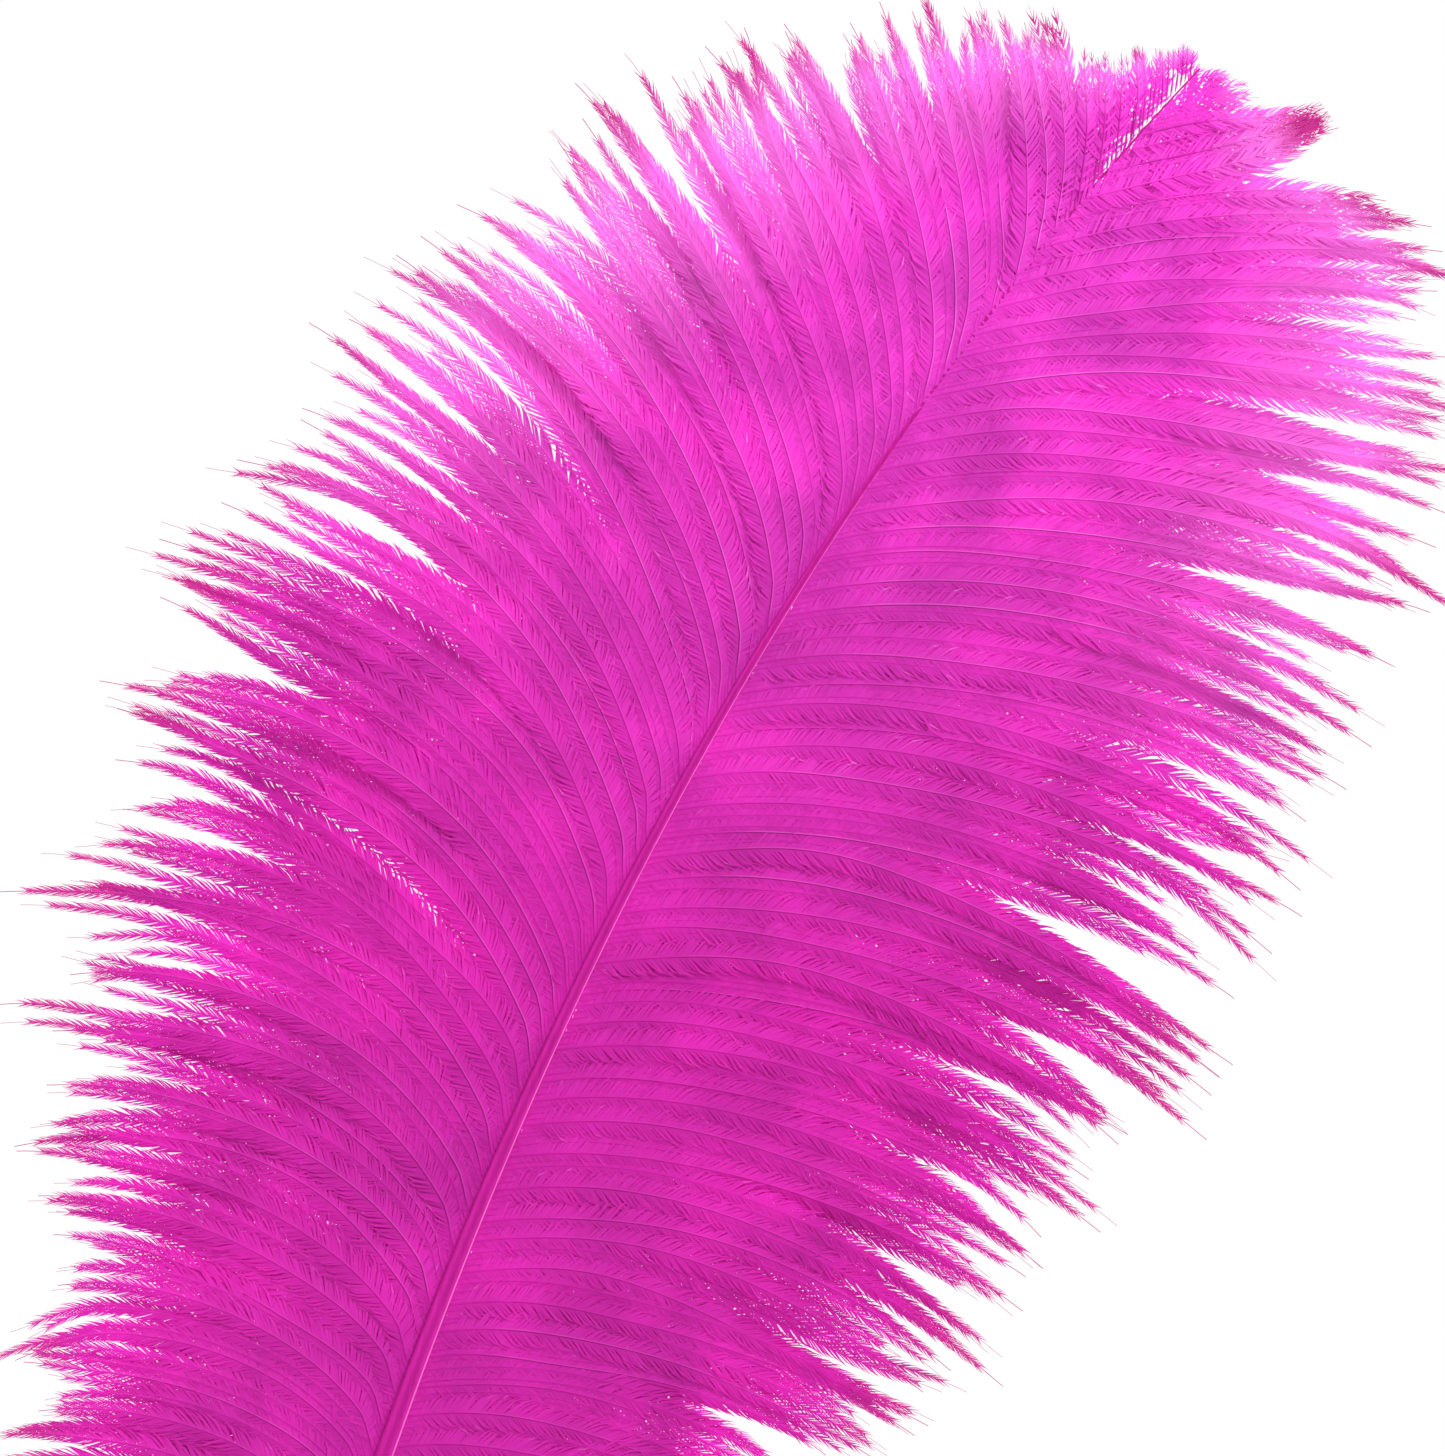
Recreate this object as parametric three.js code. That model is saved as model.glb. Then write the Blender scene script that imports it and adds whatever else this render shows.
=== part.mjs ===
// A dyed ostrich plume: one large feather with a hollow quill, a tapering curved shaft filled
// with pith, and two vanes of long soft barbs that lie together in locks.
//
// Frame: the quill stands upright with its cut end centred on the origin and its axis on +Z.
// The face of the plume, with the groove of the shaft, looks towards -Y. The shaft bends
// towards +X and its tip nods towards -Y. Units are millimetres, angles are degrees.
import * as THREE from 'three';

// ---- Driving dimensions -------------------------------------------------------------------
const SHAFT_LENGTH = 460; // cut end of the quill to the tip, measured along the shaft
const SHAFT_TURN = 30; // how far the tip leans over, in the plane of the vane
const SHAFT_TURN_POWER = 1.6; // the bend gathers towards the tip
const SHAFT_NOD = 12; // how far the tip leans forward, out of the plane of the vane
const SHAFT_NOD_POWER = 1.5;

const QUILL_LENGTH = 55; // the bare hollow part that a hand or a holder grips
const QUILL_RADIUS = 2.5;
const QUILL_END_RADIUS = 2.1; // at the cut end
const QUILL_WALL = 0.5;
const QUILL_SIDES = 14;
const PULP_CAP_HEIGHTS = { pulp_cap_lower: 20, pulp_cap_upper: 37 };
const PULP_CAP_SIZE = { radius: 1.7, rise: 3.2, thickness: 0.35 };

const RACHIS_TIP_RADIUS = 0.4;
const RACHIS_TAPER_POWER = 1.6;
const RACHIS_SIDES = 10;
const RACHIS_END = 447; // past this the shaft is a hair inside the tip tuft
const CORTEX_SHARE = 0.3; // wall thickness as a share of the radius
const PITH_CLEARANCE = 0.12;
const BEND_STATIONS = [140, 222, 302, 380]; // where the flexing shaft is divided
const BEND_GAP = 0.8; // room between two lengths of shaft as they bend
const SEAM_GAP = 0.3; // between pieces that touch

const VANE_START = 58;
const VANE_END = 445;
const LOCKS_PER_LENGTH = [4, 4, 4, 5, 5]; // locks of barbs on each side of each length of shaft
const LOCK_GAP = 1.5; // between neighbouring locks, along the shaft
const LENGTH_GAP = 4.6; // between the last lock of one length and the first of the next
const ROOT_GAP = 0.6; // between the shaft and the root of a lock
const LOCK_THICKNESS = { root: 1.0, middle: 1.7, tip: 0.7 };
const POINT_START = 0.68; // the share of a barb's reach where a lock starts to draw to a point
const POINT_WIDTH = 0.18; // width left at the very tip, as a share of the full width
const LOCK_ROWS = 9;
const BARB_STEPS = 24; // steps used to walk along one barb
const BARB_BEND_POWER = 0.75; // barbs bend most near the shaft
const BARB_DROOP = 0.13; // how far a barb's tip curls forward, as a share of its length

const DOWN_START = 49; // the short downy barbs at the top of the bare quill
const DOWN_END = 56.5;

const TIP_TUFT = { start: 448, end: 466, rootWidth: 1.6, width: 4.6, endWidth: 1.2, thickness: 1.2 };

// Barbs along the vane, from its base (at 0) to the tip of the shaft (at 1): the angle to the
// shaft that a barb leaves at, the angle that its own tip points at, and its length.
const LEFT = -1;
const RIGHT = 1;
const BARBS = {
  [LEFT]: {
    at: [0, 0.15, 0.3, 0.5, 0.65, 0.8, 0.87, 0.93, 1],
    leaves: [52, 48, 44, 37, 31, 28, 27, 27, 32],
    points: [112, 116, 114, 99, 85, 66, 54, 47, 42],
    length: [38, 53, 75, 100, 102, 72, 50, 24, 4],
  },
  [RIGHT]: {
    at: [0, 0.15, 0.3, 0.5, 0.65, 0.8, 0.87, 0.93, 1],
    leaves: [60, 60, 60, 54, 47, 38, 33, 31, 32],
    points: [108, 106, 104, 100, 92, 74, 61, 51, 40],
    length: [38, 55, 76, 101, 106, 95, 78, 39, 5],
  },
};

// ---- Materials ----------------------------------------------------------------------------
const plain = (color, roughness) => new THREE.MeshStandardMaterial({ color, roughness, metalness: 0 });
const KERATIN = plain(0xe58ccb, 0.45);
const RACHIS = plain(0xd23ba6, 0.5);
const PITH = plain(0xf3c6e4, 0.95);
const BARB = plain(0xee35cf, 0.85);
const DOWN = plain(0xe05bc0, 0.95);

// ---- The shaft's line ---------------------------------------------------------------------
const radians = THREE.MathUtils.degToRad;

function directionAt(station) {
  const share = Math.max(station, 0) / SHAFT_LENGTH;
  const turn = radians(SHAFT_TURN) * Math.min(share, 1) ** SHAFT_TURN_POWER;
  const nod = radians(SHAFT_NOD) * Math.min(share, 1) ** SHAFT_NOD_POWER;
  const along = new THREE.Vector3(
    Math.sin(turn) * Math.cos(nod),
    -Math.sin(nod),
    Math.cos(turn) * Math.cos(nod),
  );
  const across = new THREE.Vector3(Math.cos(turn), 0, -Math.sin(turn));
  const front = new THREE.Vector3().crossVectors(across, along);
  return { along, across, front };
}

// The centre line, walked in steps of one millimetre.
const centreLine = [new THREE.Vector3()];
for (let station = 0; station < SHAFT_LENGTH + 10; station += 1) {
  const step = directionAt(station + 0.5).along;
  centreLine.push(centreLine[station].clone().add(step));
}

function shaftPoint(station) {
  const below = Math.floor(station);
  return centreLine[below].clone().lerp(centreLine[below + 1], station - below);
}

// A point near the shaft: across is to the right, front is towards the face of the plume.
function besideShaft(station, across, front, along = 0) {
  const frame = directionAt(station);
  return shaftPoint(station)
    .addScaledVector(frame.across, across)
    .addScaledVector(frame.front, front)
    .addScaledVector(frame.along, along);
}

function shaftRadius(station) {
  if (station <= QUILL_LENGTH) {
    const rise = Math.min(station / 12, 1);
    return THREE.MathUtils.lerp(QUILL_END_RADIUS, QUILL_RADIUS, rise);
  }
  const left = Math.max(1 - (station - QUILL_LENGTH) / (SHAFT_LENGTH - QUILL_LENGTH), 0);
  return RACHIS_TIP_RADIUS + (QUILL_RADIUS - RACHIS_TIP_RADIUS) * left ** RACHIS_TAPER_POWER;
}

// Moves every vertex of a geometry through a function of its place.
function reshape(geometry, place) {
  const position = geometry.attributes.position;
  const vertex = new THREE.Vector3();
  for (let i = 0; i < position.count; i += 1) {
    vertex.fromBufferAttribute(position, i);
    const { x, y, z } = place(vertex);
    position.setXYZ(i, x, y, z);
  }
  geometry.computeVertexNormals();
  return geometry;
}

// ---- Quill, pulp caps, rachis and pith ----------------------------------------------------
// A body turned about the shaft's own curved line. The profile is pairs of radius and station.
function turnedOnShaft(profile, sides) {
  const points = profile.map(([radius, station]) => new THREE.Vector2(radius, station));
  return reshape(new THREE.LatheGeometry(points, sides), ({ x, y, z }) => besideShaft(y, x, z));
}

function steps(start, end, count) {
  return Array.from({ length: count + 1 }, (_, i) => start + ((end - start) * i) / count);
}

function tube(start, end, count, sides, innerRadius) {
  const stations = steps(start, end, count);
  const outside = stations.map((station) => [shaftRadius(station), station]);
  const inside = stations.map((station) => [innerRadius(station), station]).reverse();
  return turnedOnShaft([...outside, ...inside, outside[0]], sides);
}

function rod(start, end, count, sides, radius) {
  const side = steps(start, end, count).map((station) => [radius(station), station]);
  return turnedOnShaft([[0, start], ...side, [0, end]], sides);
}

const quillBore = (station) => shaftRadius(station) - QUILL_WALL;
const pithBore = (station) => shaftRadius(station) * (1 - CORTEX_SHARE);

// A pulp cap is a thin cone of horn, point upwards, left across the quill's hollow.
function pulpCap(height) {
  const { radius, rise, thickness } = PULP_CAP_SIZE;
  const profile = [
    [0, height + rise - thickness],
    [radius, height - thickness],
    [radius, height],
    [0, height + rise],
  ];
  return turnedOnShaft(profile, RACHIS_SIDES);
}

// ---- Barbs --------------------------------------------------------------------------------
// A smooth value from a short list of values along the vane.
function alongVane(list, places, share) {
  const last = places.length - 1;
  const x = THREE.MathUtils.clamp(share, 0, 1);
  let i = 0;
  while (i < last - 1 && x > places[i + 1]) i += 1;
  const slope = (k) => {
    const from = Math.max(k - 1, 0);
    const to = Math.min(k + 1, last);
    return (list[to] - list[from]) / (places[to] - places[from]);
  };
  const span = places[i + 1] - places[i];
  const t = (x - places[i]) / span;
  return (
    list[i] * (1 + 2 * t) * (1 - t) ** 2 +
    span * slope(i) * t * (1 - t) ** 2 +
    list[i + 1] * t * t * (3 - 2 * t) -
    span * slope(i + 1) * t * t * (1 - t)
  );
}

// The point at a share of its reach along the barb that leaves the shaft at one station.
function barbPoint(side, station, reach, lift) {
  const share = (station - VANE_START) / (SHAFT_LENGTH - VANE_START);
  const { at, leaves, points, length } = BARBS[side];
  const first = radians(alongVane(leaves, at, share));
  const last = radians(alongVane(points, at, share));
  const full = alongVane(length, at, share);
  let out = shaftRadius(station) + ROOT_GAP;
  let up = 0;
  const step = (full * reach) / BARB_STEPS;
  for (let i = 0; i < BARB_STEPS; i += 1) {
    const here = (reach * (i + 0.5)) / BARB_STEPS;
    const angle = first + (last - first) * here ** BARB_BEND_POWER;
    out += Math.sin(angle) * step;
    up += Math.cos(angle) * step;
  }
  const droop = BARB_DROOP * full * reach * reach;
  return besideShaft(station, side * out, droop + lift, up);
}

function lockThickness(reach) {
  const { root, middle, tip } = LOCK_THICKNESS;
  return reach < 0.5
    ? THREE.MathUtils.lerp(root, middle, reach * 2)
    : THREE.MathUtils.lerp(middle, tip, reach * 2 - 1);
}

// One lock: the barbs between two stations, lying together as a thin blade with a pointed end.
function lock(side, start, end) {
  const geometry = new THREE.BoxGeometry(1, 1, 1, 1, 1, LOCK_ROWS);
  const middle = (start + end) / 2;
  return reshape(geometry, ({ x, y, z }) => {
    const reach = Math.round((z + 0.5) * LOCK_ROWS) / LOCK_ROWS;
    const point = Math.max(reach - POINT_START, 0) / (1 - POINT_START);
    const width = (end - start) * (1 - (1 - POINT_WIDTH) * point);
    const station = middle + side * Math.sign(x) * 0.5 * width;
    return barbPoint(side, station, reach, Math.sign(y) * 0.5 * lockThickness(reach));
  });
}

// The last small barbs, beyond the end of the shaft.
function tipTuft() {
  const { start, end, rootWidth, width, endWidth, thickness } = TIP_TUFT;
  const rows = 4;
  const geometry = new THREE.BoxGeometry(1, 1, 1, 1, rows, 1);
  return reshape(geometry, ({ x, y, z }) => {
    const share = Math.round((y + 0.5) * rows) / rows;
    const wide = share < 0.5
      ? THREE.MathUtils.lerp(rootWidth, width, share * 2)
      : THREE.MathUtils.lerp(width, endWidth, share * 2 - 1);
    const station = start + (end - start) * share;
    return besideShaft(station, Math.sign(x) * 0.5 * wide, Math.sign(z) * 0.5 * thickness);
  });
}

// ---- Assembly -----------------------------------------------------------------------------
const plume = new THREE.Group();

function add(name, geometry, material) {
  const mesh = new THREE.Mesh(geometry, material.clone());
  mesh.name = name;
  plume.add(mesh);
}

add('calamus', tube(0, QUILL_LENGTH, 5, QUILL_SIDES, quillBore), KERATIN);
for (const [name, height] of Object.entries(PULP_CAP_HEIGHTS)) {
  add(name, pulpCap(height), KERATIN);
}

// The shaft, in lengths that bend against each other. The last length is solid horn.
const lengthEnds = [QUILL_LENGTH, ...BEND_STATIONS, RACHIS_END];
for (let i = 0; i < lengthEnds.length - 1; i += 1) {
  const first = i === 0;
  const last = i === lengthEnds.length - 2;
  const start = lengthEnds[i] + (first ? SEAM_GAP : BEND_GAP / 2);
  const end = lengthEnds[i + 1] - (last ? 0 : BEND_GAP / 2);
  const number = i + 1;
  if (last) {
    add(`rachis_${number}`, rod(start, end, 4, RACHIS_SIDES, shaftRadius), RACHIS);
  } else {
    const pithRadius = (station) => pithBore(station) - PITH_CLEARANCE;
    add(`rachis_${number}`, tube(start, end, 4, RACHIS_SIDES, pithBore), RACHIS);
    add(`pith_${number}`, rod(start, end, 4, RACHIS_SIDES, pithRadius), PITH);
  }
}

// The locks of barbs, numbered from the base of the vane to its tip.
const vaneEnds = [VANE_START, ...BEND_STATIONS, VANE_END];
const sides = { left: LEFT, right: RIGHT };
for (const [word, side] of Object.entries(sides)) {
  add(`${word}_down_tuft`, lock(side, DOWN_START, DOWN_END), DOWN);
  let number = 1;
  LOCKS_PER_LENGTH.forEach((count, i) => {
    const edges = steps(vaneEnds[i], vaneEnds[i + 1], count);
    for (let k = 0; k < count; k += 1) {
      const low = edges[k] + (k === 0 && i > 0 ? LENGTH_GAP : LOCK_GAP) / 2;
      const high = edges[k + 1] - (k === count - 1 ? LENGTH_GAP : LOCK_GAP) / 2;
      add(`${word}_barbs_${String(number).padStart(2, '0')}`, lock(side, low, high), BARB);
      number += 1;
    }
  });
}
add('tip_tuft', tipTuft(), BARB);

export default plume;
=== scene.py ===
"""A dyed ostrich plume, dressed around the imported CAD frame.

The CAD frame holds the shaft in lengths that bend against each other and each vane as locks of
barbs. This script grows the real barbs, every one with its barbules, along the same barb field,
and shapes the grooved shaft, the horny quill and the pulp caps inside it.
Lengths are in millimetres and angles in degrees until a mesh is made, which is in metres.
"""

import math

import bpy
import numpy as np
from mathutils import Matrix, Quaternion, Vector


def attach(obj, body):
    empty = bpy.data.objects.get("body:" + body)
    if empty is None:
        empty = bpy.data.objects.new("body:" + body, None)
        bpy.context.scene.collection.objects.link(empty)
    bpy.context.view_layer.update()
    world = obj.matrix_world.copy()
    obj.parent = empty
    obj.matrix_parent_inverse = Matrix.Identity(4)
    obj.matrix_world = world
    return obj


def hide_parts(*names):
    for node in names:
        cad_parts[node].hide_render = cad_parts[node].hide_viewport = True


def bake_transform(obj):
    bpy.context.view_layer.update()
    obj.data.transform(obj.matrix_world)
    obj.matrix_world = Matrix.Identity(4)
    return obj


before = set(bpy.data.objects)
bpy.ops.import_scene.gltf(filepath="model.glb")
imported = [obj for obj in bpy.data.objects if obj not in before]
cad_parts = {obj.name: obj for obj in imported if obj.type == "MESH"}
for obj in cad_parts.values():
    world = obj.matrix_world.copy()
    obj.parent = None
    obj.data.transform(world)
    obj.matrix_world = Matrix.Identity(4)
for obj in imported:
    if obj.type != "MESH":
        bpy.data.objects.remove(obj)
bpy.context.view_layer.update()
MM = 0.001

# ---- The frame's own dimensions ---------------------------------------------------------------
SHAFT_LENGTH = 460.0
SHAFT_TURN = 30.0
SHAFT_TURN_POWER = 1.6
SHAFT_NOD = 12.0
SHAFT_NOD_POWER = 1.5
QUILL_LENGTH = 55.0
QUILL_RADIUS = 2.5
QUILL_END_RADIUS = 2.1
QUILL_END_LENGTH = 12.0  # over which it widens from its cut end
QUILL_WALL = 0.5
RACHIS_TIP_RADIUS = 0.4
RACHIS_TAPER_POWER = 1.6
BENDS = [140.0, 222.0, 302.0, 380.0]
VANE_START = 58.0
VANE_END = 445.0
LOCKS_PER_LENGTH = [4, 4, 4, 5, 5]
BARB_BEND_POWER = 0.75
BARB_DROOP = 0.13
ROOT_OFFSET = 0.8  # the share of the shaft's radius that barbs leave it at
LEFT, RIGHT = -1, 1
SIDE_NAMES = {LEFT: "left", RIGHT: "right"}

# Along the vane from its base (0) to the tip of the shaft (1): the angle to the shaft that a barb
# leaves at, the angle that its tip points at, and its length.
PLACES = [0, 0.15, 0.3, 0.5, 0.65, 0.8, 0.87, 0.93, 1]
BARBS = {
    LEFT: {
        "leaves": [52, 48, 44, 37, 31, 28, 27, 27, 32],
        "points": [112, 116, 114, 99, 85, 66, 54, 47, 42],
        "length": [38, 53, 75, 100, 102, 72, 50, 24, 4],
    },
    RIGHT: {
        "leaves": [60, 60, 60, 54, 47, 38, 33, 31, 32],
        "points": [108, 106, 104, 100, 92, 74, 61, 51, 40],
        "length": [38, 55, 76, 101, 106, 95, 78, 39, 5],
    },
}

# ---- The barbs' own dimensions ----------------------------------------------------------------
VANE_SEEDS = {LEFT: 21, RIGHT: 34}
BARB_SPACING = 1.24
CLUMP_SIZES = [3, 4, 4, 4, 5, 5]  # how many barbs cling together
CLUMP_DEPTHS = [-0.34, 0.0, -0.3, -0.55, -0.24]  # how far in front of the vane each one lies
LEAD_PLACE = 1  # the one in front
CLUMPS_PER_LOCK = 3
STRAY_SHARE = 0.05  # the share of barbs that stand out from their clump
LONGEST_REACH = 1.18  # of the barb field, for the longest strays
LEAD_SPACING = 0.46  # between barbules on the barbs that lie in front
BACK_SPACING = 0.68  # and on those behind them
LEAD_RAMUS = 0.46  # how wide a barb's own stem is
BACK_RAMUS = 0.26
RAMUS_TAPER = 0.74  # the share of its width that a stem loses by its end
RAMUS_DEPTH = 1.1  # how far its ridge stands out, against half its width
ROOT_TAPER = 1.4  # the length over which a stem thickens from its root
# Painted shade and highlight on a stem's faces: towards the quill, towards the tip, and the back.
BARE_FACE_SHADES = (0.02, 0.25, 0.3)
LEAD_FACE_SHADES = (0.02, 0.97, 0.5)
BACK_FACE_SHADES = (0.3, 0.66, 0.5)
# Where along a barb the painted shade and highlight of its stem begin to show and show fully.
# By the shaft, the right vane's stems are lost among the barbules.
STEM_SHOWS = {LEFT: (0.01, 0.05), RIGHT: (0.04, 0.18)}
BARBULE_LENGTH = 5.3
FOOT_BARBULES = {LEFT: 0.6, RIGHT: 0.8}  # how long the first ones are, against the rest
BARBULES_END = 0.95  # the share of a barb that has barbules
BARBULE_BEND_AT = 0.6  # the share of a barbule before its bend
BARBULE_CLOSING = 0.62  # its angle after the bend, against the one before
LEAD_BARBULE = 0.42  # how wide a barbule is
BACK_BARBULE = 0.44
BARBULE_ANGLES = (52.0, 12.0)  # to the barb, near the shaft and at the barb's tip
BARBULE_SLOPE = 0.13  # how steeply barbules fall away behind their barb
MIDDLE_TONE = 0.52
LEAD_GLINTS = 0.08  # the share of barbules whose tips get a painted glint
BACK_GLINTS = 0.02
BARE_STATIONS = (418.0, 436.0)  # over which the feet of the stems become bare
BARE_FEET = {LEFT: 5.0, RIGHT: 1.2}  # how much of each stem is bare at the tip of the plume
LOSS_STATIONS = (400.0, 440.0)  # over which barbules go missing
TIP_LOSS = 0.4  # the share of barbules missing at the tip of the plume
ROOT_SWEEP = {LEFT: 2.6, RIGHT: 0.0}  # how far a root runs along the shaft before it turns out
SWEEP_STATIONS = (400.0, 430.0)  # over which that stops
SWEEP_TURN = 7.0  # the length over which a root turns out
LAP_STATIONS = (320.0, 400.0)  # over which roots begin to lap over the thin shaft
# Some barbs near the tip of the right vane cling together in one point.
GATHERED_STATIONS = (425.0, 443.0)
GATHERED_POINT = (24.2, 1.0, -2.6)  # from the tip of the shaft
GATHERED_SPREAD = np.array([1.2, 0.8, -1.0])
GATHERED_LATENESS = (4.5, 1.8)  # how late the lowest and the highest of them turn to it
GATHERED_ENDS = 0.12  # how much sooner they take the colour of the barbs' ends

TUFT_SEED = 55
DOWN_SEED = 89
DOWN_START = 49.3
DOWN_SPACING = 0.62
DOWN_FLUFF = 0.8


def smoothstep(low, high, x):
    t = np.clip((x - low) / (high - low), 0, 1)
    return t * t * (3 - 2 * t)


def unit(v):
    return v / np.maximum(np.linalg.norm(v, axis=-1, keepdims=True), 1e-12)


# ---- The shaft's line -------------------------------------------------------------------------
def shaft_frame(station):
    """The unit vectors along the shaft, across it to the right, and out of its face."""
    share = np.clip(np.asarray(station, float) / SHAFT_LENGTH, 0, 1)
    turn = math.radians(SHAFT_TURN) * share**SHAFT_TURN_POWER
    nod = math.radians(SHAFT_NOD) * share**SHAFT_NOD_POWER
    along = np.stack([np.sin(turn) * np.cos(nod), -np.sin(nod), np.cos(turn) * np.cos(nod)], -1)
    across = np.stack([np.cos(turn), 0 * turn, -np.sin(turn)], -1)
    return along, across, np.cross(across, along)


CENTRE_LINE = np.vstack([np.zeros(3), np.cumsum(shaft_frame(np.arange(480) + 0.5)[0], axis=0)])


def shaft_point(station):
    places = np.arange(len(CENTRE_LINE))
    return np.stack([np.interp(station, places, CENTRE_LINE[:, k]) for k in range(3)], -1)


def shaft_radius(station):
    station = np.asarray(station, float)
    flare = np.minimum(station / QUILL_END_LENGTH, 1)
    quill = QUILL_END_RADIUS + (QUILL_RADIUS - QUILL_END_RADIUS) * flare
    left = np.clip(1 - (station - QUILL_LENGTH) / (SHAFT_LENGTH - QUILL_LENGTH), 0, 1)
    taper = (QUILL_RADIUS - RACHIS_TIP_RADIUS) * left**RACHIS_TAPER_POWER
    return np.where(station <= QUILL_LENGTH, quill, RACHIS_TIP_RADIUS + taper)


def along_vane(values, share):
    """A smooth value from a short list of values along the vane."""
    x, y = np.array(PLACES, float), np.array(values, float)
    last = len(x) - 1
    share = np.clip(share, 0, 1)
    i = np.clip(np.searchsorted(x, share, side="left") - 1, 0, last - 1)
    before = np.maximum(np.arange(last + 1) - 1, 0)
    after = np.minimum(np.arange(last + 1) + 1, last)
    slope = (y[after] - y[before]) / (x[after] - x[before])
    span = x[i + 1] - x[i]
    t = (share - x[i]) / span
    start = y[i] * (1 + 2 * t) * (1 - t) ** 2 + span * slope[i] * t * (1 - t) ** 2
    return start + y[i + 1] * t * t * (3 - 2 * t) - span * slope[i + 1] * t * t * (1 - t)


class Vane:
    """The barb field of one side: where a barb from any station is at any share of its reach."""

    STATIONS = np.arange(46.0, SHAFT_LENGTH + 1, 1.0)
    REACHES = np.linspace(0, 1.2, 37)

    def __init__(self, side):
        self.side = side
        station, reach = np.meshgrid(self.STATIONS, self.REACHES, indexing="ij")
        share = (station - VANE_START) / (SHAFT_LENGTH - VANE_START)
        shape = BARBS[side]
        first = np.radians(along_vane(shape["leaves"], share))
        last = np.radians(along_vane(shape["points"], share))
        self.full = along_vane(shape["length"], share)
        middle = (reach[:, 1:] + reach[:, :-1]) / 2
        angle = first[:, 1:] + (last - first)[:, 1:] * middle**BARB_BEND_POWER
        step = np.diff(reach, axis=1) * self.full[:, 1:]
        zero = np.zeros((len(self.STATIONS), 1))
        out = np.hstack([zero, np.cumsum(np.sin(angle) * step, axis=1)])
        up = np.hstack([zero, np.cumsum(np.cos(angle) * step, axis=1)])
        out = out + ROOT_OFFSET * shaft_radius(station)
        droop = BARB_DROOP * self.full * reach**2
        along, across, front = shaft_frame(station)
        self.grid = (
            shaft_point(station)
            + across * (side * out)[..., None]
            + along * up[..., None]
            + front * droop[..., None]
        )
        outward = np.gradient(self.grid, axis=1)
        upward = np.gradient(self.grid, axis=0)
        self.front = unit(np.cross(outward, upward) * side)

    def sample(self, grid, station, reach):
        i = np.clip(station - self.STATIONS[0], 0, len(self.STATIONS) - 1.001)
        j = np.clip(reach / self.REACHES[1], 0, len(self.REACHES) - 1.001)
        i0, j0 = i.astype(int), j.astype(int)
        a, b = (i - i0)[..., None], (j - j0)[..., None]
        low = grid[i0, j0] * (1 - a) + grid[i0 + 1, j0] * a
        high = grid[i0, j0 + 1] * (1 - a) + grid[i0 + 1, j0 + 1] * a
        return low * (1 - b) + high * b

    def length_at(self, station):
        return np.interp(station, self.STATIONS, self.full[:, 0])


VANES = {side: Vane(side) for side in (LEFT, RIGHT)}


# ---- Meshes -----------------------------------------------------------------------------------
NO_QUADS, NO_TRIANGLES = np.zeros((0, 4), int), np.zeros((0, 3), int)


def make_mesh(name, points, quads, triangles, attributes=(), smooth=True):
    """A mesh object from arrays of points in millimetres and of faces."""
    mesh = bpy.data.meshes.new(name)
    mesh.vertices.add(len(points))
    mesh.vertices.foreach_set("co", (np.asarray(points) * MM).astype(np.float32).ravel())
    corners = np.concatenate([np.ravel(quads), np.ravel(triangles)]).astype(np.int32)
    sizes = np.concatenate([np.full(len(quads), 4), np.full(len(triangles), 3)]).astype(np.int32)
    mesh.loops.add(len(corners))
    mesh.loops.foreach_set("vertex_index", corners)
    mesh.polygons.add(len(sizes))
    starts = np.concatenate([[0], np.cumsum(sizes)[:-1]]).astype(np.int32)
    mesh.polygons.foreach_set("loop_start", starts)
    mesh.polygons.foreach_set("use_smooth", np.full(len(sizes), smooth))
    mesh.update(calc_edges=True)
    for key, values in dict(attributes).items():
        domain = "POINT" if len(values) == len(points) else "FACE"
        layer = mesh.attributes.new(key, "FLOAT", domain)
        layer.data.foreach_set("value", np.asarray(values, np.float32))
    obj = bpy.data.objects.new(name, mesh)
    bpy.context.scene.collection.objects.link(obj)
    return obj


class MeshPile:
    """Gathers the arrays of many barbs into one mesh. Each face has a reach and painted light."""

    def __init__(self):
        self.points, self.quads, self.triangles, self.count = [], [], [], 0
        self.quad_values, self.triangle_values = [], []

    def add(self, points, quads, triangles, quad_values, triangle_values):
        self.points.append(points)
        self.quads.append(quads + self.count)
        self.triangles.append(triangles + self.count)
        self.quad_values.append(quad_values)
        self.triangle_values.append(triangle_values)
        self.count += len(points)

    def make(self, name):
        arrays = [np.vstack(a) for a in (self.points, self.quads, self.triangles)]
        values = np.vstack(self.quad_values + self.triangle_values)
        attributes = {"reach": values[:, 0], "light_and_tone": values[:, 1]}
        return make_mesh(name, *arrays, attributes, smooth=False)


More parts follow.
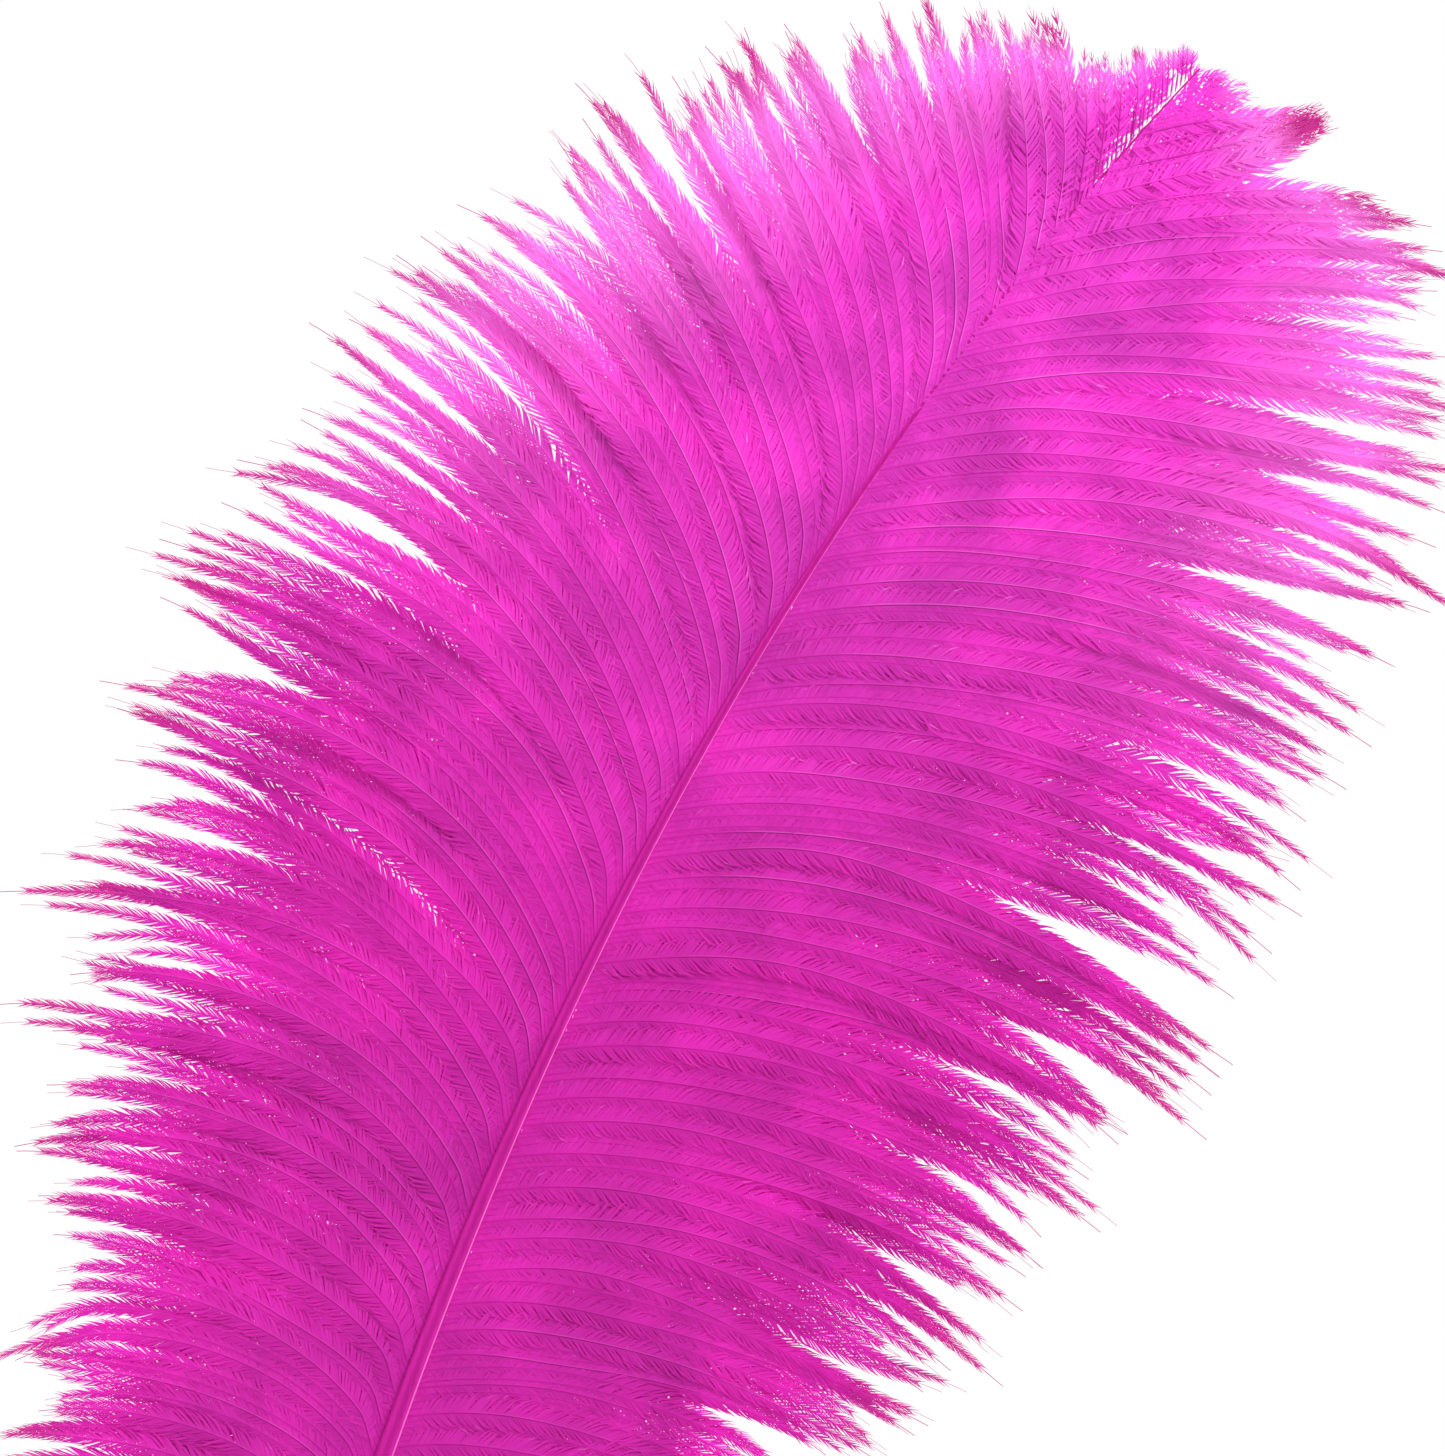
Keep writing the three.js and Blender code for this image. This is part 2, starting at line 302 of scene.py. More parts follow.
# ---- Barbs ------------------------------------------------------------------------------------
def grow_barb(
    pile, path, front, side, rng, lead=False, ends_at=1.0, fluff=0.0, bare=0.0, sparse=0.0
):
    """One barb: a tapering ramus with a row of barbules on each of its two edges.

    path and front are the barb's line and the outward direction of the vane along it.
    A lead barb lies in front of its neighbours. ends_at is where the barb ends on the vane's
    own scale of reach. fluff from 0 to 1 turns the orderly herringbone into loose down, and
    bare is how much of the stem's foot has no barbules. sparse is the share of barbules lost.
    """
    steps = np.linalg.norm(np.diff(path, axis=0), axis=1)
    run = np.concatenate([[0], np.cumsum(steps)])
    total = run[-1]
    n = max(int(total / (LEAD_SPACING if lead or fluff else BACK_SPACING)), 6)
    at = np.linspace(0, total, n + 1)
    # The barb's points, and its directions: outward from the vane, onward, and towards the tip.
    p = np.stack([np.interp(at, run, path[:, k]) for k in range(3)], -1)
    f = np.stack([np.interp(at, run, front[:, k]) for k in range(3)], -1)
    d = unit(np.gradient(p, axis=0))
    t = unit(np.cross(f, d)) * side
    f = np.cross(d, t) * side
    share = at / total
    flip = slice(None, None, -1 if side == RIGHT else 1)

    # The ramus has three faces. A ramus with a bare foot is thicker and darker, because it shows.
    shows = bare > 1
    half = 0.5 * (LEAD_RAMUS if lead or shows else BACK_RAMUS) * (1 - RAMUS_TAPER * share)
    half = half * (0.9 if shows else min(1, 0.5 + total / 120))
    half = half * (0.2 + 0.8 * smoothstep(0, ROOT_TAPER, at))
    low, high = p - t * half[:, None], p + t * half[:, None]
    ridge = p + f * RAMUS_DEPTH * half[:, None]
    lows = np.arange(n + 1)
    ridges, highs = lows + (n + 1), lows + 2 * (n + 1)
    # Painted shade and highlight on the stem's faces, darkest on the face towards the quill.
    face_shades = BARE_FACE_SHADES if shows else LEAD_FACE_SHADES if lead else BACK_FACE_SHADES
    middle_share = (share[1:] + share[:-1]) / 2
    shown = smoothstep(*STEM_SHOWS[side], middle_share) * rng.uniform(0.45, 1.0)
    quads, quad_values = [], []
    for a, b, light_and_tone in zip((lows, ridges, highs), (ridges, highs, lows), face_shades, strict=True):
        quads.append(np.stack([a[:-1], b[:-1], b[1:], a[1:]], -1)[:, flip])
        quad_values.append(np.stack([middle_share, 0.5 + (light_and_tone - 0.5) * shown], -1))
    caps = np.array([[lows[0], highs[0], ridges[0]], [lows[-1], ridges[-1], highs[-1]]])
    points, triangles = [low, ridge, high], [caps[:, flip]]
    triangle_values = [np.array([[0, 0.5], [1, 0.5]])]

    # The barbules: a base that spans two stations, a middle pair, and a point.
    i = np.arange(min(int(n * bare / total), n // 2), int(n * BARBULES_END))
    i = i[rng.random(len(i)) >= sparse]
    keep, s = len(i), middle_share[i]
    # Short barbs have shorter barbules, and so have the foot and the end of every barb.
    at_foot = FOOT_BARBULES[side]
    size = BARBULE_LENGTH * min(1, 0.3 + total / 60)
    size = size * (at_foot + (1 - at_foot) * smoothstep(0, 0.12, s))
    size = size * (1 - 0.35 * smoothstep(0.5, 0.85, s) - 0.3 * smoothstep(0.8, 1.0, s))
    size = size * (1 + 0.3 * fluff)
    wide = (LEAD_BARBULE if lead else BACK_BARBULE) / 2
    wide = wide * (1 - 0.68 * smoothstep(0.5, 0.92, s)) * (1 - 0.62 * fluff)
    angle = BARBULE_ANGLES[0] + (BARBULE_ANGLES[1] - BARBULE_ANGLES[0]) * s**0.8
    wild = 0.12 + 0.5 * fluff
    count = 3 * (n + 1)
    # One row on the edge towards the quill, and one on the edge towards the tip.
    for sign, edge, line in ((-1, low, lows), (1, high, highs)):
        base = (edge[i] + edge[i + 1]) / 2
        length = size * (1 + wild * rng.uniform(-1, 1, keep))
        opening = angle + 12 * fluff + rng.normal(0, 4 + 14 * fluff, keep)
        first = np.radians(opening + 6)
        last = np.radians(opening * BARBULE_CLOSING + rng.normal(0, 4 + 16 * fluff, keep))
        slope = BARBULE_SLOPE * (1 - fluff) + rng.normal(0, 0.05 + 0.45 * fluff, keep)
        curl = slope * 0.4 + rng.normal(0, 0.07 + 0.45 * fluff, keep)
        dd, tt, ff = d[i], t[i] * sign, f[i]
        go = dd * np.cos(first)[:, None] + tt * np.sin(first)[:, None] - ff * slope[:, None]
        on = dd * np.cos(last)[:, None] + tt * np.sin(last)[:, None] - ff * curl[:, None]
        beside = dd * np.sin(first)[:, None] - tt * np.cos(first)[:, None]
        beside = beside + ff * rng.normal(0, 0.16, keep)[:, None]
        middle = base + go * (BARBULE_BEND_AT * length)[:, None]
        tip = middle + on * ((1 - BARBULE_BEND_AT) * length)[:, None]
        beside = beside * (wide * np.minimum(1, length / 3))[:, None]
        m1 = count + np.arange(keep)
        m2, top = m1 + keep, m1 + 2 * keep
        turn = slice(None, None, -1 if sign == side else 1)
        quads.append(np.stack([line[i], line[i + 1], m2, m1], -1)[:, turn])
        triangles.append(np.stack([m1, m2, top], -1)[:, turn])
        points += [middle - beside, middle + beside, tip]
        # Painted light: on a lead barb the barbules towards the tip are lighter, those towards the
        # quill darker, and their bases get a painted highlight. Points are a little darker, and a
        # few get a painted glint. The rest is random variation.
        light_and_tone = MIDDLE_TONE + (0.05 * sign if lead else 0) + rng.normal(0, 0.06, keep)
        glints = rng.random(keep) < (LEAD_GLINTS if lead else BACK_GLINTS)
        glint = np.where(glints, rng.uniform(0.1, 0.5, keep), 0.0)
        quad_values.append(np.stack([s, light_and_tone + 0.2 * glint + (0.05 if lead else 0)], -1))
        triangle_values.append(np.stack([s + 0.03, light_and_tone - 0.02 + glint], -1))
        count += 3 * keep
    scale = np.array([ends_at, 1.0])
    pile.add(
        np.vstack(points),
        np.vstack(quads),
        np.vstack(triangles),
        np.vstack(quad_values) * scale,
        np.vstack(triangle_values) * scale,
    )


def barb_plan(side, rng):
    """Every barb of one vane: its root, its place in its clump, and how it wanders."""
    roots = np.arange(VANE_START + 0.6, VANE_END - 0.3, BARB_SPACING)
    n = len(roots)
    sizes = rng.choice(CLUMP_SIZES, n)
    clump = np.repeat(np.arange(n), sizes)[:n]
    place = np.concatenate([np.arange(size) for size in sizes])[:n]
    lock = clump // CLUMPS_PER_LOCK
    clumps, locks = clump.max() + 1, lock.max() + 1
    clump_centre = np.array([roots[clump == k].mean() for k in range(clumps)])
    lock_centre = np.array([roots[lock == k].mean() for k in range(locks)])
    draw = {
        "gather": rng.uniform(0.1, 0.65, clumps),
        "gather_from": rng.uniform(0.55, 0.88, clumps),
        "wander": rng.normal(0, 0.8, clumps),
        "sway": rng.normal(0, 1.0, clumps),
        "phase": rng.uniform(-1.5, 1.5, clumps),
        "lift": rng.normal(0, 2.2, clumps),
        "clump_length": rng.uniform(0.94, 1.06, clumps),
        "lock_gather": rng.uniform(0.0, 0.1, locks),
        "lock_wander": rng.normal(0, 0.6, locks),
        "lock_lift": rng.normal(0, 2.0, locks),
        "lock_length": rng.uniform(0.98, 1.05, locks),
    }
    lead = place == LEAD_PLACE
    length = draw["clump_length"][clump] * draw["lock_length"][lock]
    length = length * np.where(lead, rng.uniform(0.97, 1.03, n), rng.uniform(0.9, 1.03, n))
    stray = rng.random(n) < STRAY_SHARE
    length = np.where(stray, length * rng.uniform(1.03, 1.10, n), length)
    depth = np.choose(place, CLUMP_DEPTHS) + rng.normal(0, 0.12, n)
    depth = depth + rng.normal(0, 0.22, n)[clump]
    first, last = GATHERED_STATIONS
    return {
        "root": roots + rng.normal(0, 0.12, n),
        "clump": clump,
        "lock": lock,
        "lead": lead,
        "gathered": (side == RIGHT) & (roots > first) & (roots < last),
        "length": length,
        "depth": depth,
        "clump_centre": clump_centre,
        "lock_centre": lock_centre,
        "own_gather": rng.uniform(0.35, 1.0, n),
        "own_wander": rng.normal(0, 1.0, n) + np.where(stray, rng.normal(0, 2.5, n), 0),
        "own_lift": rng.normal(0, 0.7, n),
        "hook": rng.normal(0, 1.7, clumps),
        **draw,
    }


def barb_line(vane, plan, j):
    """The path of barb j and the outward direction of the vane along it."""
    reach = np.linspace(0, 1, 44) * min(plan["length"][j], LONGEST_REACH)
    k, m = plan["clump"][j], plan["lock"][j]
    root = plan["root"][j]
    late = smoothstep(0.15, 1.05, reach)
    to_clump = (plan["clump_centre"][k] - root) * plan["gather"][k] * plan["own_gather"][j]
    to_clump = to_clump * smoothstep(plan["gather_from"][k], 1.0, reach)
    to_lock = (plan["lock_centre"][m] - plan["clump_centre"][k]) * plan["lock_gather"][m] * late
    wander = (plan["wander"][k] + plan["lock_wander"][m] + plan["own_wander"][j]) * late
    size = min(1.0, vane.length_at(root) / 80)
    sway = plan["sway"][k] * np.sin(3.6 * reach + plan["phase"][k]) * smoothstep(0.05, 0.4, reach)
    hook = (plan["hook"][k] + 0.5 * plan["own_wander"][j]) * smoothstep(0.72, 1.1, reach) ** 1.5
    station = root + to_clump + to_lock + (wander + sway + hook) * size
    # A root runs along the shaft before it turns out, but never back over a hinge.
    turned = smoothstep(0, SWEEP_TURN / vane.length_at(root), reach)
    from_hinge = min(abs(root - place) for place in (VANE_START - 2, *BENDS))
    sweep = ROOT_SWEEP[vane.side] * smoothstep(0, 5, from_hinge)
    sweep = sweep * (1 - smoothstep(*SWEEP_STATIONS, root))
    station = station - sweep * (1 - turned)
    path = vane.sample(vane.grid, station, reach)
    front = unit(vane.sample(vane.front, station, reach))
    off = plan["depth"][j] * smoothstep(0, 0.07, reach)
    off = off + (plan["lift"][k] + plan["lock_lift"][m] + plan["own_lift"][j]) * late**1.5 * size
    path = path + front * off[:, None]
    lap = smoothstep(*LAP_STATIONS, root) * float(shaft_radius(root))
    lap = lap * (1 - smoothstep(0, 0.12, reach))
    _, across, face = shaft_frame(root)
    path = path + lap[:, None] * (face - 0.6 * vane.side * across)
    if plan["gathered"][j]:
        point = shaft_point(SHAFT_LENGTH) + GATHERED_POINT + plan["own_lift"][j] * GATHERED_SPREAD
        # The lower ones keep to their own course longest, and then turn up sharply.
        lateness = np.interp(root, GATHERED_STATIONS, GATHERED_LATENESS)
        path = path + (point - path[-1]) * (reach / reach[-1])[:, None] ** lateness
    return path, front


def lock_edges():
    """For each length of shaft and each of its locks: the length's number and the two stations."""
    ends = [VANE_START, *BENDS, VANE_END]
    found = []
    for length, count in enumerate(LOCKS_PER_LENGTH):
        edges = np.linspace(ends[length], ends[length + 1], count + 1)
        found += [(length, low, high) for low, high in zip(edges[:-1], edges[1:], strict=True)]
    return found


def blend_from_shaft(piece):
    """Bakes the piece's placement into its mesh."""
    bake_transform(piece)


def make_vane(side, material):
    """One vane: a piece for each of its locks, with every barb grown on its own."""
    rng = np.random.default_rng(VANE_SEEDS[side])
    vane = VANES[side]
    plan = barb_plan(side, rng)
    for number, (length, low, high) in enumerate(lock_edges(), 1):
        pile = MeshPile()
        for j in np.flatnonzero((plan["root"] >= low) & (plan["root"] < high)):
            path, front = barb_line(vane, plan, j)
            root, lead = plan["root"][j], plan["lead"][j]
            ends_at = plan["length"][j] + (GATHERED_ENDS if plan["gathered"][j] else 0)
            bare = BARE_FEET[side] * rng.uniform(0.4, 1.2) * float(smoothstep(*BARE_STATIONS, root))
            sparse = TIP_LOSS * float(smoothstep(*LOSS_STATIONS, root))
            grow_barb(pile, path, front, side, rng, lead, ends_at, bare=bare, sparse=sparse)
        name = f"{SIDE_NAMES[side]}_barb_lock_{number:02d}"
        piece = pile.make(name)
        piece.data.materials.append(material)
        blend_from_shaft(piece)
        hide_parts(f"{SIDE_NAMES[side]}_barbs_{number:02d}")


def loose_line(vane, root, reach, drift, lift):
    """The path of a short barb that lies in no clump, and the outward direction along it."""
    station = root + drift * reach
    path = vane.sample(vane.grid, station, reach)
    front = unit(vane.sample(vane.front, station, reach))
    return path + front * (lift * reach**1.5)[:, None], front


def make_tip_tuft(material):
    """The smallest barbs, from the end of the vanes to the tip of the shaft."""
    rng = np.random.default_rng(TUFT_SEED)
    pile = MeshPile()
    for side in (LEFT, RIGHT):
        vane = VANES[side]
        for root in np.arange(VANE_END + 0.3, SHAFT_LENGTH - 1.5, BARB_SPACING):
            reach = np.linspace(0, 1, 30) * rng.uniform(0.85, 1.1)
            drift, lift = rng.normal(0, 0.3), rng.normal(0, 1.0)
            path, front = loose_line(vane, root, reach, drift, lift)
            bare = BARE_FEET[side] * rng.uniform(0.3, 0.8)
            grow_barb(pile, path, front, side, rng, bare=bare, sparse=TIP_LOSS)
    # One last barb carries on from the end of the shaft.
    along, _, face = shaft_frame(SHAFT_LENGTH)
    reach = np.linspace(0, 1, 20)[:, None]
    path = shaft_point(SHAFT_LENGTH - 3.0) + along * reach * 3.5
    grow_barb(pile, path, np.repeat(face[None], 20, 0), RIGHT, rng)
    piece = pile.make("tip_tuft_barbs")
    piece.data.materials.append(material)
    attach(piece, "shaft_5")
    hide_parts("tip_tuft")


def make_down(side, material):
    """The short loose down at the top of the bare quill."""
    rng = np.random.default_rng(DOWN_SEED + side)
    vane = VANES[side]
    pile = MeshPile()
    for root in np.arange(DOWN_START, VANE_START + 0.5, DOWN_SPACING):
        reach = np.linspace(0, 1, 30) * rng.uniform(0.5, 0.98)
        drift, lift = rng.normal(0, 2.6), rng.normal(0, 3.5)
        path, front = loose_line(vane, root, reach, drift, lift)
        grow_barb(pile, path, front, side, rng, fluff=DOWN_FLUFF)
    piece = pile.make(f"{SIDE_NAMES[side]}_down")
    piece.data.materials.append(material)
    blend_from_shaft(piece)
    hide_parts(f"{SIDE_NAMES[side]}_down_tuft")


# ---- Shaft ------------------------------------------------------------------------------------
RACHIS_AROUND = 28
RACHIS_STEP = 2.5
RACHIS_THINS = (395.0, 455.0)  # where the tip of the rachis thins further, among the barbs
GROOVE_DEPTH = 0.12  # against the radius
GROOVE_WIDTH = 0.38
QUILL_AROUND = 40
QUILL_STEPS = 28
QUILL_TOP = 1.0  # how far below the top of the quill its hollow ends
QUILL_HOLLOW_END = 0.6  # the hollow's radius there
PULP_CAP_AROUND = 28
PULP_CAP_RINGS = 7
PULP_CAP_RADIUS = 1.74
PULP_CAP_HEIGHT = 3.2
PULP_CAP_THICKNESS = 0.25
PULP_CAP_PLACES = {"pulp_cap_lower": 20, "pulp_cap_upper": 37}


def circle(around):
    """The cosine and sine at equal steps around a turn."""
    turn = np.linspace(0, 2 * math.pi, around, endpoint=False)
    return np.stack([np.cos(turn), np.sin(turn)], -1)


def ring(station, offsets):
    """Points about the shaft's line, each offset across it and out of its face."""
    _, across, front = shaft_frame(station)
    return shaft_point(station) + offsets[:, :1] * across + offsets[:, 1:] * front


def ring_quads(count, around, closed=False):
    """The faces between rings, each joined to the next, and the last to the first if closed."""
    lower = np.arange(count if closed else count - 1)
    i, k = np.meshgrid(lower, np.arange(around), indexing="ij")
    j, beside = (i + 1) % count, (k + 1) % around
    corners = [i * around + k, i * around + beside, j * around + beside, j * around + k]
    return np.stack(corners, -1).reshape(-1, 4)


def swept(name, stations, section, attributes):
    """A skin through one section ring at each station. section gives (across, front) pairs."""
    rings = [ring(s, section(s)) for s in stations]
    count, around = len(stations), len(rings[0])
    # The end faces have their own corners, so that the skin stays smooth right up to them.
    k, start = np.arange(around), count * around
    points = np.vstack([*rings, rings[0], rings[-1], rings[0].mean(0), rings[-1].mean(0)])
    first = start + 2 * around
    low = np.stack([start + (k + 1) % around, start + k, np.full(around, first)], -1)
    top = start + around
    high = np.stack([top + k, top + (k + 1) % around, np.full(around, first + 1)], -1)
    return make_mesh(name, points, ring_quads(count, around), np.vstack([low, high]), attributes)


def rachis_section(station):
    """Flat-sided horn with a groove down its face. The groove fades out at the quill."""
    radius = float(shaft_radius(station) * (1 - 0.6 * smoothstep(*RACHIS_THINS, station)))
    c, s = circle(RACHIS_AROUND).T
    grooved = float(smoothstep(QUILL_LENGTH, QUILL_LENGTH + 30, station))
    power = 1 - 0.22 * grooved
    across = radius * np.sign(c) * np.abs(c) ** power
    front = radius * np.sign(s) * np.abs(s) ** power * (1 - 0.06 * grooved)
    groove = GROOVE_DEPTH * radius * grooved
    groove = groove * np.exp(-((across / (GROOVE_WIDTH * radius)) ** 2))
    front = front - np.where(s > 0, groove, 0)
    return np.stack([across, front], -1)


def rachis_painted_shade(stations):
    """How deep in the groove each point of the rachis is, for its painted shade.

    The deepest painted shade lies a little to the right of the groove, and only the right edge has
    a painted highlight.
    """
    across, front = circle(RACHIS_AROUND).T
    groove = np.exp(-(((across - 0.1) / 0.4) ** 2))
    groove = np.where(across < 0, np.maximum(groove, 0.1), groove)
    one = np.where(front > 0, groove, np.minimum(groove, 0.3))
    return np.concatenate([np.tile(one, len(stations) + 2), [0.5, 0.5]])


def make_rachis(material):
    """Four pieces that meet in the middle of a length of shaft, each spanning one hinge."""
    middles = [(a + b) / 2 for a, b in zip(BENDS[:-1], BENDS[1:], strict=True)]
    ends = [QUILL_LENGTH, *middles, SHAFT_LENGTH]
    for i, bend in enumerate(BENDS):
        stations = np.linspace(ends[i], ends[i + 1], int((ends[i + 1] - ends[i]) / RACHIS_STEP))
        # The depth value carries painted shade in the groove and a painted highlight on the right
        # edge.
        values = {"depth": rachis_painted_shade(stations)}
        piece = swept(f"rachis_horn_{i + 1}", stations, rachis_section, attributes=values)
        piece.data.materials.append(material)
        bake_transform(piece)
        covered = [f"rachis_{i + 1}"] + (["rachis_5"] if i == len(BENDS) - 1 else [])
        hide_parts(*covered)


def make_quill(material):
    """The bare hollow quill, open at its cut end, which has a small bevel outside and inside."""
    around = QUILL_AROUND
    outer = np.concatenate([[0.0, 0.15, 0.5], np.linspace(2, QUILL_LENGTH, QUILL_STEPS)])
    inner = outer[::-1]
    bevel = {0.0: 0.12, 0.15: 0.03}
    radii = [float(shaft_radius(s)) - bevel.get(float(s), 0) for s in outer]
    walls = [float(shaft_radius(s)) - QUILL_WALL + (0.08 if s == 0 else 0) for s in inner]
    walls[0] = QUILL_HOLLOW_END
    rings = list(zip(outer, radii, strict=True))
    rings += [(min(s, QUILL_LENGTH - QUILL_TOP), r) for s, r in zip(inner, walls, strict=True)]
    points = [ring(s, r * circle(around)) for s, r in rings]
    count, last = len(rings), len(outer) - 1
    quads = ring_quads(count, around, closed=True)
    keep = np.arange(len(quads)) // around != last
    # The closing faces have their own corners, so that the walls stay smooth up to them.
    top_outer = count * around + np.arange(around)
    top_inner = top_outer + around
    cap = (count + 2) * around
    middles = [shaft_point(QUILL_LENGTH), shaft_point(QUILL_LENGTH - QUILL_TOP)]
    points = np.vstack([*points, points[last], points[last + 1], *middles])
    turn = np.roll(np.arange(around), -1)
    close = np.stack([top_outer, top_outer[turn], np.full(around, cap)], -1)
    seal = np.stack([top_inner[turn], top_inner, np.full(around, cap + 1)], -1)
    piece = make_mesh("quill_horn", points, quads[keep], np.vstack([close, seal]))
    piece.data.materials.append(material)
    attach(piece, "quill")
    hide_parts("calamus")


def make_pulp_cap(node, height, material):
    """A thin wrinkled cone of horn left across the quill's hollow."""
    rng = np.random.default_rng(height)
    shares = [k / PULP_CAP_RINGS for k in range(PULP_CAP_RINGS + 1)]
    profile = [
        (PULP_CAP_RADIUS * (1 - share) + 0.02, height + PULP_CAP_HEIGHT * share**1.2)
        for share in shares
    ]
    profile += [(r, s - PULP_CAP_THICKNESS) for r, s in profile[::-1]]
    wave = rng.uniform(0, 6.28, 3)
    turn = np.linspace(0, 2 * math.pi, PULP_CAP_AROUND, endpoint=False)
    wrinkled = 1 + 0.04 * np.sin(3 * turn + wave[0]) + 0.03 * np.sin(7 * turn + wave[1])
    points = []
    for r, s in profile:
        # The rim is round, where it meets the wall.
        rough = np.where(r > PULP_CAP_RADIUS - 0.04, 1.0, wrinkled)
        points.append(ring(s, (r * rough)[:, None] * circle(PULP_CAP_AROUND)))
    quads = ring_quads(len(profile), PULP_CAP_AROUND, closed=True)
    piece = make_mesh(f"{node}_horn", np.vstack(points), quads, NO_TRIANGLES)
    piece.data.materials.append(material)
    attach(piece, "quill")
    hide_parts(node)


# ---- Materials --------------------------------------------------------------------------------
WHITE, BLACK = (1.0, 1.0, 1.0), (0.0, 0.0, 0.0)
# Colours high on the plume and low on it, lighter high and darker low, and at the barbs' ends.
BARB_COLOURS = (0.91, 0.058, 0.74), (0.75, 0.0175, 0.51), (0.60, 0.03, 0.31)
DOWN_COLOURS = (0.85, 0.10, 0.62), (0.80, 0.055, 0.57), (0.84, 0.14, 0.56)
DARK_TO_LIGHT_HEIGHTS = (0.06, 0.44)  # in metres, from the darker colour low on the plume to the lighter one high on it
PAINTED_THROUGH_LIGHT_PINK = (0.95, 0.33, 0.87)
DYE_PATCHES = [(0.3, (0.82, 0.78, 0.80)), (0.7, (1.06, 1.10, 1.06))]
# A value of 0 is painted shade on a stem in front, 0.5 a plain barbule, and 1 a painted highlight
# or glint.
PAINTED_LIGHT_TONES = [
    (0.0, (0.56, 0.30, 0.52)),
    (0.25, (0.84, 0.70, 0.80)),
    (0.55, WHITE),
    (0.8, (1.05, 1.6, 1.08)),
    (1.0, (1.08, 4.5, 1.2)),
]
TRANSLUCENCY = 0.45
# From the painted highlight at the edges of the shaft's face to the painted shade at the bottom of
# its groove.
RACHIS_PAINTED_SHADES = [
    (0.0, (0.66, 0.04, 0.42)),
    (0.02, (0.86, 0.20, 0.62)),
    (0.08, (0.49, 0.012, 0.28)),
    (1.0, (0.33, 0.005, 0.18)),
]
RACHIS_STREAKS = [(0.3, (0.84, 0.80, 0.82)), (0.7, (1.1, 1.15, 1.1))]
# At the cut end and at the top of the quill, and the dark streaks.
QUILL_DYES = (0.80, 0.22, 0.52), (0.46, 0.010, 0.26), (0.82, 0.70, 0.76)
PULP_DYES = (0.92, 0.70, 0.80), (0.9, 0.6, 0.75), (0.8, 0.75, 0.78)
PITH_CELLS = [(0.0, (0.95, 0.72, 0.88)), (0.8, (0.78, 0.45, 0.68))]


def new_material(name):
    material = bpy.data.materials.new(name)
    material.use_nodes = True
    tree = material.node_tree
    tree.nodes.clear()
    return material, tree


def place_on_object(tree):
    """The point on the object, in metres."""
    return tree.nodes.new("ShaderNodeTexCoord").outputs["Object"]


def node(tree, kind, **inputs):
    made = tree.nodes.new(kind)
    for key, value in inputs.items():
        made.inputs[key.replace("_", " ")].default_value = value
    return made


def show(tree, surface):
    out = tree.nodes.new("ShaderNodeOutputMaterial")
    tree.links.new(surface.outputs[0], out.inputs["Surface"])


def ramp(tree, source, stops):
    made = tree.nodes.new("ShaderNodeValToRGB")
    elements = made.color_ramp.elements
    while len(elements) < len(stops):
        elements.new(0.5)
    for element, (place, colour) in zip(elements, stops, strict=True):
        element.position = place
        element.color = (*colour, 1)
    tree.links.new(source, made.inputs["Fac"])
    return made.outputs["Color"]


def mix(tree, factor, first, second, mode="MIX"):
    made = tree.nodes.new("ShaderNodeMix")
    made.data_type = "RGBA"
    made.blend_type = mode
    sockets = made.inputs["Factor"], made.inputs[6], made.inputs[7]
    for socket, value in zip(sockets, (factor, first, second), strict=True):
        if isinstance(value, bpy.types.NodeSocket):
            tree.links.new(value, socket)
        else:
            socket.default_value = value if isinstance(value, float) else (*value, 1)
    return made.outputs[2]


def attribute(tree, name):
    made = tree.nodes.new("ShaderNodeAttribute")
    made.attribute_name = name
    return made.outputs["Fac"]


def height_share(tree, place, low, high):
    """0 to 1 from one height to another, in metres."""
    split = tree.nodes.new("ShaderNodeSeparateXYZ")
    tree.links.new(place, split.inputs[0])
    made = node(tree, "ShaderNodeMapRange", From_Min=low, From_Max=high)
    tree.links.new(split.outputs["Z"], made.inputs["Value"])
    return made.outputs[0]


def lengthwise_streaks(tree, place, squash, scale, detail):
    """Noise drawn out along the shaft."""
    stretch = node(tree, "ShaderNodeMapping", Scale=(1.0, 1.0, squash))
    tree.links.new(place, stretch.inputs["Vector"])
    streaks = node(tree, "ShaderNodeTexNoise", Scale=scale, Detail=detail)
    tree.links.new(stretch.outputs[0], streaks.inputs["Vector"])
    return streaks.outputs["Fac"]


def roughen(tree, surface, height, strength, distance):
    bump = node(tree, "ShaderNodeBump", Strength=strength, Distance=distance)
    tree.links.new(height, bump.inputs["Height"])
    tree.links.new(bump.outputs[0], surface.inputs["Normal"])


